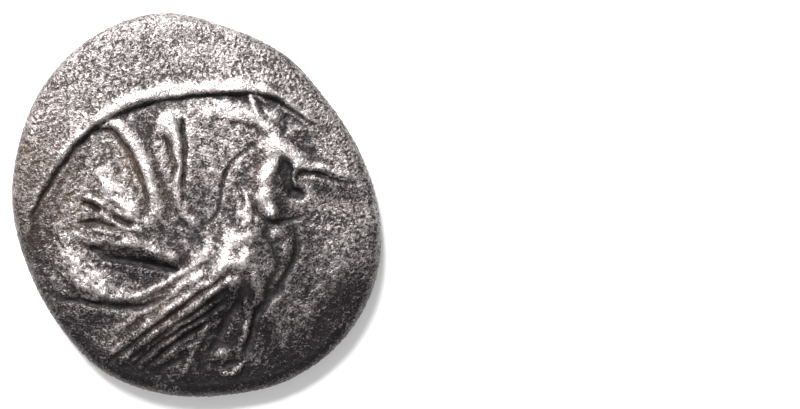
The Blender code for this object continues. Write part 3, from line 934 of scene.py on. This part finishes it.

# %% [markdown]
# ## Tarnish and painted shade
#
# In the ground the coin turned nearly black. Along its lower and right edge it is darker still, where
# the dome turns away from the light. The shading of the shape gives only part of that, so the rest is
# painted shade, laid into the colour together with the tarnish. Two patches paint the shade in the
# trough under the lip. All of it is laid down as soft oval patches, the way a painter lays thin washes
# over a model. A patch with a share below zero wipes some of the wash away again.

# %% Tarnish and painted shade of the struck side
# Each has its middle, its half lengths, its turn in degrees and its share
TARNISH_AND_SHADE_PATCHES = (
    # Painted shade with the tarnish: these broad patches along the lower and right edge darken the
    # side of the dome that turns away from the light
    ((0.8, -5.9), (6.5, 2.9), 0, 1.0),
    ((4.55, -2.9), (1.5, 0.60), 58, 0.8),
    ((3.4, -4.4), (1.3, 0.50), 40, 0.7),
    ((1.2, -5.4), (2.0, 0.40), 12, 0.6),
    ((-2.4, -4.9), (1.8, 0.35), -28, 0.6),
    ((-3.6, -3.4), (2.0, 1.3), -35, 0.45),
    ((-1.3, -1.6), (1.6, 0.6), -12, 0.50),
    ((2.7, -1.0), (0.9, 2.0), 0, 0.50),
    ((4.6, -1.8), (1.8, 3.0), 0, 0.35),
    ((0.4, 0.1), (1.1, 0.9), 0, 0.35),
    ((0.6, -3.1), (0.9, 0.4), 38, 0.6),
    ((1.1, -2.7), (0.6, 0.5), 0, 0.5),
    ((-1.9, -1.75), (1.0, 0.40), -8, 0.6),
    ((-2.9, -0.9), (0.8, 0.5), 0, 0.40),
    ((-3.1, -0.6), (0.4, 0.3), 0, 0.30),
    # Painted shade in the trough under the lip, at its left end
    ((-3.45, 1.35), (0.28, 0.9), -38, 0.55),
    ((4.2, 0.5), (1.0, 0.35), -8, 0.65),
    ((-0.5, -0.7), (0.7, 0.45), 20, 0.5),
    ((0.1, 0.7), (0.4, 0.8), 0, 0.3),
    ((-1.7, 4.6), (0.9, 0.5), 20, 0.15),
    ((-2.4, -3.8), (0.9, 0.4), 38, -0.55),
    ((-0.4, -2.1), (0.8, 0.3), 35, -0.4),
    ((0.9, -3.5), (0.35, 0.5), 20, 0.5),
    ((1.75, -1.25), (0.35, 0.4), 0, 0.3),
    ((3.0, -2.4), (0.7, 0.8), 0, 0.2),
    ((-1.5, 3.75), (0.9, 0.22), 15, 0.25),
    ((-0.1, 1.6), (0.3, 0.5), 0, 0.3),
    ((-0.8, 1.1), (0.2, 0.4), 0, 0.3),
    ((-2.5, 1.9), (0.35, 0.5), -30, 0.3),
    ((2.6, -0.4), (0.5, 0.7), 0, 0.25),
    ((-1.75, 2.35), (0.40, 0.45), 0, 0.45),
    ((-1.15, 0.50), (0.22, 0.90), 5, 0.4),
    ((-2.2, -3.6), (1.6, 0.7), -35, 0.4),
    ((2.7, 0.75), (0.35, 0.6), 0, 0.5),
    ((1.9, -3.4), (0.3, 0.8), 15, 0.5),
    ((-4.65, -0.9), (0.50, 1.7), 0, 0.65),
    ((3.2, 2.0), (1.2, 0.8), 0, 0.25),
    ((-4.4, 1.4), (0.6, 1.1), -25, 0.25),
    ((-3.3, -1.9), (0.7, 0.9), 30, -0.35),
    ((-1.5, -2.1), (0.8, 0.3), 10, 0.35),
    ((-0.35, 4.9), (0.5, 0.3), 0, 0.2),
    ((-3.1, 0.1), (0.35, 0.7), 20, 0.35),
    ((-4.0, 0.1), (0.35, 0.8), 0, 0.3),
    ((-2.9, -1.75), (0.9, 0.25), -5, 0.35),
    ((-0.2, -3.8), (0.35, 0.6), 20, 0.4),
    ((1.3, -3.7), (0.8, 0.6), 20, 0.2),
    ((1.65, -1.15), (0.30, 0.35), 0, 0.35),
    ((2.6, 3.2), (0.9, 0.35), -35, 0.3),
    # Painted shade under the lip
    ((-1.0, 2.95), (0.55, 0.14), 15, 0.5),
    ((2.5, 2.4), (0.6, 0.3), 0, 0.25),
)
print(f"{len(TARNISH_AND_SHADE_PATCHES)} patches of tarnish")

# %% [markdown]
# ## Earth
#
# Brown earth stayed in the tail, in the wing, on the neck and along the left edge. Noise could
# scatter it, but it lies only in these places, so it gets patches like the tarnish and the painted
# shade. The finish then lets it gather in the hollows there.

# %% Earth of the struck side
EARTH = (
    ((-4.9, 0.6), (0.9, 2.8), -15, 1.0),
    ((-3.3, -0.2), (1.3, 1.1), 0, 0.8),
    ((-1.9, 1.3), (0.4, 1.3), 30, 0.7),
    ((-0.7, 1.2), (0.4, 1.0), 0, 0.5),
    ((-1.2, -3.8), (2.0, 1.0), 38, 0.7),
    ((2.0, 1.0), (0.3, 0.8), -15, 0.5),
)


def washes(spots):
    """Soft oval patches laid over each other."""
    laid = sum(part * patch(middle, halves, turn) for middle, halves, turn, part in spots)
    return np.clip(laid, 0, 1)


print(f"{len(EARTH)} patches of earth")

# %% [markdown]
# ## The washes of the punched side
#
# On this side the washes follow the punch. The silver above its upper wall and the wall itself are
# darker: partly tarnish and partly painted shade, because they face away from the light. The silver on
# its right and below it is brighter, and earth sits along the walls. Oval patches could show that too,
# but each place in the punch's own directions is on the board already, in hundredths of half its side.
# Washes made from those stay at the walls when the punch is moved.

# %% Washes of the punched side
# Where the silver beyond a side of the punch begins, and over how many hundredths
RIGHT_FROM, RIGHT_OVER = 70, 70
TOP_FROM, TOP_OVER = 80, 40
FOOT_FROM, FOOT_OVER = -80, 40
# The middle of each wall and half its width
TOP_WALL, RIGHT_WALL, LEFT_WALL, FOOT_WALL = (90, 8), (92, 16), (-97, 9), (-95, 8)
TOP_SHADE_AND_TARNISH, WALL_SHADE_AND_TARNISH, WASH_WALL = 0.42, 0.5, 4
RIGHT_BRIGHTER, FOOT_BRIGHTER, PIT_BRIGHTER = 0.24, 0.16, 0.18
LEFT_EARTH, FOOT_EARTH, EARTH_PAST = 0.6, 0.5, 6
RIGHT_EARTH_TO, RIGHT_EARTH_OVER = 70, 90


def strip(places, middle, half):
    """A soft straight strip, 1 in its middle."""
    return np.exp(-((places - middle) / half) ** 2)


past_right = ease((punch_u - RIGHT_FROM) / RIGHT_OVER)
past_top = ease((punch_v - TOP_FROM) / TOP_OVER)
past_foot = ease((FOOT_FROM - punch_v) / FOOT_OVER)
# Painted shade and tarnish above the punch and on its upper wall
under_tarnish_and_shade = (TOP_SHADE_AND_TARNISH * past_top * (1 - past_right)
                + WALL_SHADE_AND_TARNISH * strip(punch_v, *TOP_WALL) * ease(mouth / WASH_WALL))
# Brighter on the right of the punch, below it and inside it
under_brighter = RIGHT_BRIGHTER * past_right + FOOT_BRIGHTER * past_foot + PIT_BRIGHTER * in_punch
right_wall = strip(punch_u, *RIGHT_WALL) * ease((RIGHT_EARTH_TO - punch_v) / RIGHT_EARTH_OVER)
other_walls = LEFT_EARTH * strip(punch_u, *LEFT_WALL) + FOOT_EARTH * strip(punch_v, *FOOT_WALL)
under_earth = np.clip(right_wall + other_walls, 0, 1) * ease(mouth / EARTH_PAST + 1)
store("tarnish_and_shade", washes(TARNISH_AND_SHADE_PATCHES), np.clip(under_tarnish_and_shade, 0, 1))
store("earth", washes(EARTH), under_earth)

# %% [markdown]
# ## Where it is rubbed bright, and painted highlights
#
# Fingers and cloth only reach what stands out: the coin's top edge, the lip, the backs of the
# feathers, the comb and the neck, the shoulder and the root of the wing. There the silver is nearly
# white. Some
# strokes are painted highlights as well: on the lip, the coin's top edge, the legs and the feet they
# lighten the colour where the slopes face the light. The height alone would brighten every high place
# alike, so these places are painted with the same kind of strokes that raised the relief, but on an
# empty board that holds brightness.

# %% Rubbed places and painted highlights
RUBBED_AND_HIGHLIGHTS = (
    # Painted highlight along the lip, up to its crest, where it faces the light
    (((-2.80, 2.55), (-2.20, 2.88), (-1.50, 3.16), (-0.60, 3.37), (0.40, 3.44), (1.30, 3.48),
      (2.20, 3.32)), 0.14, 0.15, 0.3, 1.4, 1.8, 1.8, 1.4, 0.2),
    (((-2.74, 2.40), (-2.30, 2.30), (-1.84, 1.80), (-1.56, 1.30), (-1.32, 0.60), (-1.20, 0.00)),
     0.19, 0.13, 1.0, 1.8, 1.6, 0.9, 0.4),
    (((-0.72, 2.55), (-0.56, 2.10), (-0.45, 1.50), (-0.45, 0.60)), 0.22, 0.10, 1.0, 1.3, 0.8, 0.3),
    (((-0.76, 2.48), (-0.70, 2.20), (-0.64, 1.90)), 0.28, 0.30, 0.8, 0.9, 0.4),
    (((0.00, 2.95), (0.50, 2.90), (1.10, 2.80), (1.70, 2.60)), 0.22, 0.22, 0.4, 0.8, 0.9, 0.5),
    (((-2.72, 0.80), (-2.40, 0.38), (-2.02, -0.04)), 0.32, 0.28, 0.7, 1.6, 1.3),
    (((-3.05, 0.30), (-2.60, 0.02), (-2.20, -0.20)), 0.10, 0.10, 0.3, 0.8, 0.4),
    (((-3.45, -0.90), (-3.50, -1.60), (-3.20, -2.15), (-2.60, -2.50), (-1.90, -2.68)),
     0.34, 0.26, 0.2, 0.35, 0.5, 0.5, 0.3),
    (((2.25, 1.95), (2.36, 1.62), (2.18, 1.15), (2.06, 0.70), (2.06, 0.20), (2.16, -0.20)),
     0.22, 0.22, 0.7, 1.0, 1.1, 1.1, 0.8),
    (((2.40, 1.80), (2.80, 1.54), (3.02, 1.26)), 0.20, 0.14, 0.6, 1.2, 1.0),
    (((1.66, 2.95), (1.78, 2.70), (2.02, 2.30)), 0.14, 0.12, 0.7, 1.0),
    (((1.62, 0.20), (1.45, -0.25), (1.22, -0.60), (0.95, -0.90)), 0.20, 0.18, 0.4, 0.5, 0.45, 0.3),
    (((1.50, -1.20), (1.02, -1.40), (0.55, -1.64), (0.00, -1.92), (-0.60, -2.26)), 0.32, 0.32,
     0.5, 0.7, 0.6, 0.6, 0.3),
    (((1.20, -2.05), (0.60, -2.35), (0.00, -2.75)), 0.14, 0.14, 0.2, 0.3, 0.1),
    (((-1.00, -3.25), (-1.60, -3.72), (-2.20, -4.15)), 0.24, 0.24, 0.1, 0.35, 0.3),
    (((-2.70, -1.00), (-1.80, -1.15), (-1.00, -1.40)), 0.08, 0.08, 0.3, 0.5, 0.3),
    # Painted highlights on the legs and the foot
    (((1.58, -3.30), (1.46, -3.75), (1.32, -4.20)), 0.09, 0.09, 0.2, 0.5, 0.3),
    (((0.62, -4.32), (0.85, -4.36)), 0.14, 0.13, 0.5, 0.4),
    (((-0.85, -4.36), (-0.62, -4.44)), 0.12, 0.08, 0.4, 0.4),
    # Painted highlight on the coin's top edge, which faces the light
    (((-2.70, 5.10), (-1.50, 5.38), (-0.30, 5.42), (0.60, 5.30)), 0.28, 0.28, 0.2, 0.4, 0.2, 0.1),
    (((-0.50, 2.48), (-0.05, 2.30)), 0.24, 0.24, 0.5, 0.5),
    (((-2.15, 0.80), (-1.90, 0.35)), 0.20, 0.20, 0.3, 0.3),
    (((2.72, 1.35), (2.96, 1.05)), 0.20, 0.15, 0.5, 0.5),
    (((-2.50, -0.55), (-1.90, -0.75)), 0.20, 0.14, 0.3, 0.3),
    (((0.20, 4.60), (0.90, 4.30)), 0.35, 0.30, 0.3, 0.3),
    # Painted highlights on the legs
    (((0.05, -4.15), (-0.15, -4.55), (-0.30, -4.90)), 0.09, 0.09, 0.3, 0.5, 0.3),
    (((0.80, -4.93), (1.10, -4.90), (1.28, -4.72)), 0.10, 0.09, 0.3, 0.5, 0.3),
)
bright = np.zeros(board_x.shape)
for one in RUBBED_AND_HIGHLIGHTS:
    ridge(bright, *one)
store("rubbed_and_highlit", np.clip(bright, 0, 1), under_brighter)

# %% [markdown]
# ## Node maths written as Python
#
# A finish is a graph of nodes. Wiring it line by line hides what it works out, so one small class
# stands for a node's output, and Python's own operators add the Math nodes. Any other node comes
# from one method that takes its type, its settings and its inputs.

# %% Wires


class Wire:
    """A node's output. Sums and products of it add the Math nodes that work them out."""

    def __init__(self, socket):
        self.socket = socket

    @classmethod
    def of(cls, tree, kind, settings=None, inputs=None, output=0):
        """Adds a node: its settings first, then the values or wires of its inputs."""
        node = tree.nodes.new(kind)
        for name, value in (settings or {}).items():
            setattr(node, name, value)
        for name, value in (inputs or {}).items():
            if isinstance(value, Wire):
                tree.links.new(value.socket, node.inputs[name])
            else:
                node.inputs[name].default_value = value
        return cls(node.outputs[output])

    def math(self, operation, *others, swap=False):
        """Adds a Math node. With swap the other value comes first."""
        values = (self, *others)[::-1] if swap else (self, *others)
        tree = self.socket.id_data
        return Wire.of(tree, "ShaderNodeMath", {"operation": operation}, dict(enumerate(values)))

    def __add__(self, other):
        return self.math("ADD", other)

    def __sub__(self, other):
        return self.math("SUBTRACT", other)

    def __rsub__(self, other):
        return self.math("SUBTRACT", other, swap=True)

    def __mul__(self, other):
        return self.math("MULTIPLY", other)

    def abs(self):
        return self.math("ABSOLUTE")

    def clip(self):
        return self.math("MAXIMUM", 0.0).math("MINIMUM", 1.0)

    __radd__ = __add__
    __rmul__ = __mul__


print("a wire can be added, subtracted and multiplied, with a number on either side")

# %% [markdown]
# ## Mixing colours
#
# A Math node would turn a colour grey. So colours are mixed by a Mix node, as a painter does it: one
# colour, another one, and how much of the second.

# %% Blend


def blend(factor, first, second):
    """One colour turning into another as the factor goes from 0 to 1."""
    tree = factor.socket.id_data
    ends = {6: first if isinstance(first, Wire) else (*first, 1),
            7: second if isinstance(second, Wire) else (*second, 1)}
    return Wire.of(tree, "ShaderNodeMix", {"data_type": "RGBA"}, {0: factor, **ends}, output=2)


print("a blend takes a wire as its factor, and colours or wires as its ends")

# %% [markdown]
# ## A material that knows the coin
#
# The five values that were stored on the points come back here by their names. They could be painted
# as pictures and wrapped round the coin, but a picture needs a flat layout of the skin, and a value on
# a point needs none.

# %% Material
STORED = ("relief", "grain", "tarnish_and_shade", "rubbed_and_highlit", "earth")

silver = bpy.data.materials.new("old silver")
silver.use_nodes = True
tree = silver.node_tree
shader = tree.nodes["Principled BSDF"]
place = Wire.of(tree, "ShaderNodeTexCoord", output="Object")


def value_of(name):
    """The number stored on the points under a name."""
    return Wire.of(tree, "ShaderNodeAttribute", {"attribute_name": name}, output="Fac")


relief, grain, tarnish_and_shade, rubbed_and_highlit, earth = (value_of(name) for name in STORED)
clear_of_tarnish_and_shade = 1 - tarnish_and_shade
print("values read from the points:", *STORED)

# %% [markdown]
# ## The finest grain
#
# Under a lens the silver's skin is a web of short curved ridges with specks between them, and where it
# is rubbed, thin dark cracks are left; the cracks also cross the painted highlights. Most of this is
# finer than the mesh, so it is made in the material from noise. Where a noise crosses its middle value
# it draws thin curved lines. One noise draws the ridges so, a broader one the cracks, and the specks
# are a finer noise. Tarnish and the painted shade lie over the ridges and flatten them a little.

# %% Threads, specks and cracks
BUMP_HEIGHT = 0.012
THREADS_A_MM, THREAD_SHARPNESS = 6.2, 8
CRACKS_A_MM, CRACK_SHARPNESS = 3.0, 26
SPECKS_A_MM = 18
CLOUDS_A_MM = 1.6
SPECK_SHARE, CRACK_SHARE = 0.8, 0.8
UNDER_TARNISH_AND_SHADE = 0.75


def noise_of(waves_a_mm, detail=1.0, rough=0.5, distortion=0.0):
    """Noise between 0 and 1, about 0.5 on average."""
    return Wire.of(tree, "ShaderNodeTexNoise", {}, {
        "Vector": place, "Scale": waves_a_mm / MM, "Detail": detail, "Roughness": rough,
        "Distortion": distortion})


def lines_in(waves, sharpness):
    """Thin curved lines, 1 where a noise crosses its middle value."""
    return (1 - sharpness * (waves - 0.5).abs()).clip()


curls = noise_of(THREADS_A_MM, detail=2.0, rough=0.6, distortion=0.8)
threads = lines_in(curls, THREAD_SHARPNESS) * (UNDER_TARNISH_AND_SHADE + (1 - UNDER_TARNISH_AND_SHADE) * clear_of_tarnish_and_shade)
specks = noise_of(SPECKS_A_MM, detail=1.5)
breaks = noise_of(CRACKS_A_MM, detail=2.0, rough=0.6, distortion=1.2)
cracks = lines_in(breaks, CRACK_SHARPNESS) * rubbed_and_highlit
cloud = noise_of(CLOUDS_A_MM, detail=3.0, rough=0.65)
bump = Wire.of(tree, "ShaderNodeBump", {}, {
    "Strength": 1.0, "Distance": BUMP_HEIGHT * MM,
    "Height": threads + SPECK_SHARE * specks - CRACK_SHARE * cracks}, output="Normal")
tree.links.new(bump.socket, shader.inputs["Normal"])
print(f"threads, specks and cracks in {len(tree.nodes)} nodes")

# %% [markdown]
# ## Old silver
#
# Silver is nearly white where it is rubbed and grey where its skin is rough. Hollows are black with
# sulphide or brown with earth, and a film of tarnish darkens whole areas but leaves the tops of the
# grains. The same film carries the painted shade along the struck side's lower and right edge, under
# the lip and above the punch. Each could be a material of its own, but they pass softly into each
# other, so one material blends their colours in turn. A value for wear and painted highlights leads
# it: it is high on the threads, on the grain, on the rubbed places and on the painted highlights, and
# low in the cracks. The film is so thin that the silver stays metallic under it, and only the dirt in
# the hollows is less so. Worn silver is also a little smoother, and so are the painted highlights.

# %% Silver finish
BRIGHT = (0.83, 0.760, 0.748)
GREY = (0.0455, 0.0385, 0.0378)
BLACK = (0.0105, 0.0088, 0.0102)
TARNISH_AND_SHADE_COLOUR = (0.0125, 0.0104, 0.0118)
BROWN = (0.105, 0.070, 0.047)
METALLIC, DIRT_DULLS = 0.92, 0.3
ROUGHNESS, WEAR_SMOOTHS = 0.55, 0.16

# Each number says how much the value beside it counts
# Wear and painted highlights: the rubbed places bring the painted highlights into this value
wear_and_highlights = (0.02 + 0.34 * threads + 0.14 * grain + 0.10 * relief * clear_of_tarnish_and_shade + 0.60 * rubbed_and_highlit
        + 0.85 * (specks - 0.5) + 0.6 * (cloud - 0.5) - 0.7 * cracks).clip()
hollow = (0.06 - 0.8 * relief - 0.22 * grain - 0.15 * threads).clip()
skin_colour = blend(wear_and_highlights, GREY, BRIGHT)
skin_colour = blend((earth * (0.50 + 1.6 * hollow) * (1 - wear_and_highlights)).clip(), skin_colour, BROWN)
skin_colour = blend((hollow * (1 - 0.6 * earth)).clip(), skin_colour, BLACK)
# Tarnish and painted shade: darker along the lower and right edge, under the lip and above the punch
skin_colour = blend((tarnish_and_shade * (1.18 - 0.9 * wear_and_highlights)).clip(), skin_colour, TARNISH_AND_SHADE_COLOUR)
tree.links.new(skin_colour.socket, shader.inputs["Base Color"])
tree.links.new((METALLIC - DIRT_DULLS * hollow).clip().socket, shader.inputs["Metallic"])
tree.links.new((ROUGHNESS - WEAR_SMOOTHS * wear_and_highlights).socket, shader.inputs["Roughness"])
mesh.materials.append(silver)
print(f"silver finish of {len(tree.nodes)} nodes")

# %% [markdown]
# ## The table
#
# The coin lies on a plain pale table. A curved backdrop would hide its far edge, but a camera that
# looks straight down never sees one, so a large square is enough.

# %% Table
TABLE_HALF = 600 * MM
PAPER_COLOUR = (0.9, 0.9, 0.9, 1)
PAPER_ROUGHNESS = 0.8

table_mesh = bpy.data.meshes.new("table")
table_mesh.from_pydata([(-TABLE_HALF, -TABLE_HALF, 0), (TABLE_HALF, -TABLE_HALF, 0),
                        (TABLE_HALF, TABLE_HALF, 0), (-TABLE_HALF, TABLE_HALF, 0)], [], [(0, 1, 2, 3)])
table = bpy.data.objects.new("table", table_mesh)
bpy.context.scene.collection.objects.link(table)
paper = bpy.data.materials.new("pale paper")
paper.use_nodes = True
paper_shader = paper.node_tree.nodes["Principled BSDF"]
paper_shader.inputs["Base Color"].default_value = PAPER_COLOUR
paper_shader.inputs["Roughness"].default_value = PAPER_ROUGHNESS
table_mesh.materials.append(paper)
print(f"table {2 * TABLE_HALF:.2f} m wide")

# %% [markdown]
# ## The light
#
# One soft light stands behind the coin's top edge, a little to the left, so every ridge is bright
# above and dark below. Light from all round would show the tones of the silver but hardly its relief.
# A second, weaker light and the pale surroundings only fill the shadows.

# %% Light
LIGHT_DISTANCE = 500 * MM
ROOM_LIGHT = 0.4


def soft_light(name, azimuth, elevation, size, watts):
    """A square light aimed at the coin. Azimuth 90 stands at the coin's top, 180 at its left."""
    light = bpy.data.lights.new(name, "AREA")
    light.size = size
    light.energy = watts
    lamp = bpy.data.objects.new(name, light)
    a, e = radians(azimuth), radians(elevation)
    lamp.location = [LIGHT_DISTANCE * part for part in (cos(a) * cos(e), sin(a) * cos(e), sin(e))]
    lamp.rotation_euler = (pi / 2 - e, 0, a + pi / 2)
    lamp.visible_camera = False
    bpy.context.scene.collection.objects.link(lamp)


soft_light("key_light", azimuth=112, elevation=42, size=220 * MM, watts=7.0)
soft_light("fill_light", azimuth=290, elevation=60, size=400 * MM, watts=0.8)
world = bpy.data.worlds.new("pale room")
world.use_nodes = True
world.node_tree.nodes["Background"].inputs["Color"].default_value = (1, 1, 1, 1)
world.node_tree.nodes["Background"].inputs["Strength"].default_value = ROOM_LIGHT
bpy.context.scene.world = world
bpy.context.scene.view_settings.view_transform = "Standard"
print("two soft lights and a pale room")

# %% [markdown]
# ## The camera
#
# The camera looks straight down, so that the outline is seen as it is. A camera without perspective
# would do, but a real one has a lens, and a long lens far away keeps the outline nearly as true.

# %% Camera
IMAGE_WIDTH = 800
PIXELS_A_MM = 34
COIN_PIXELS = (196.5, 204.75)
IMAGE_MIDDLE = (400, 204.5)
LENS = 180
SENSOR = 36

view_width = IMAGE_WIDTH / PIXELS_A_MM * MM
view = bpy.data.cameras.new("camera")
view.lens = LENS
view.sensor_width = SENSOR
view.clip_start = 0.001
camera = bpy.data.objects.new("camera", view)
camera.location = ((IMAGE_MIDDLE[0] - COIN_PIXELS[0]) / PIXELS_A_MM * MM,
                   (COIN_PIXELS[1] - IMAGE_MIDDLE[1]) / PIXELS_A_MM * MM,
                   EDGE_HEIGHT * MM + view_width * LENS / SENSOR)
bpy.context.scene.collection.objects.link(camera)
bpy.context.scene.camera = camera
print(f"camera {camera.location.z * 1000:.0f} mm over the table")
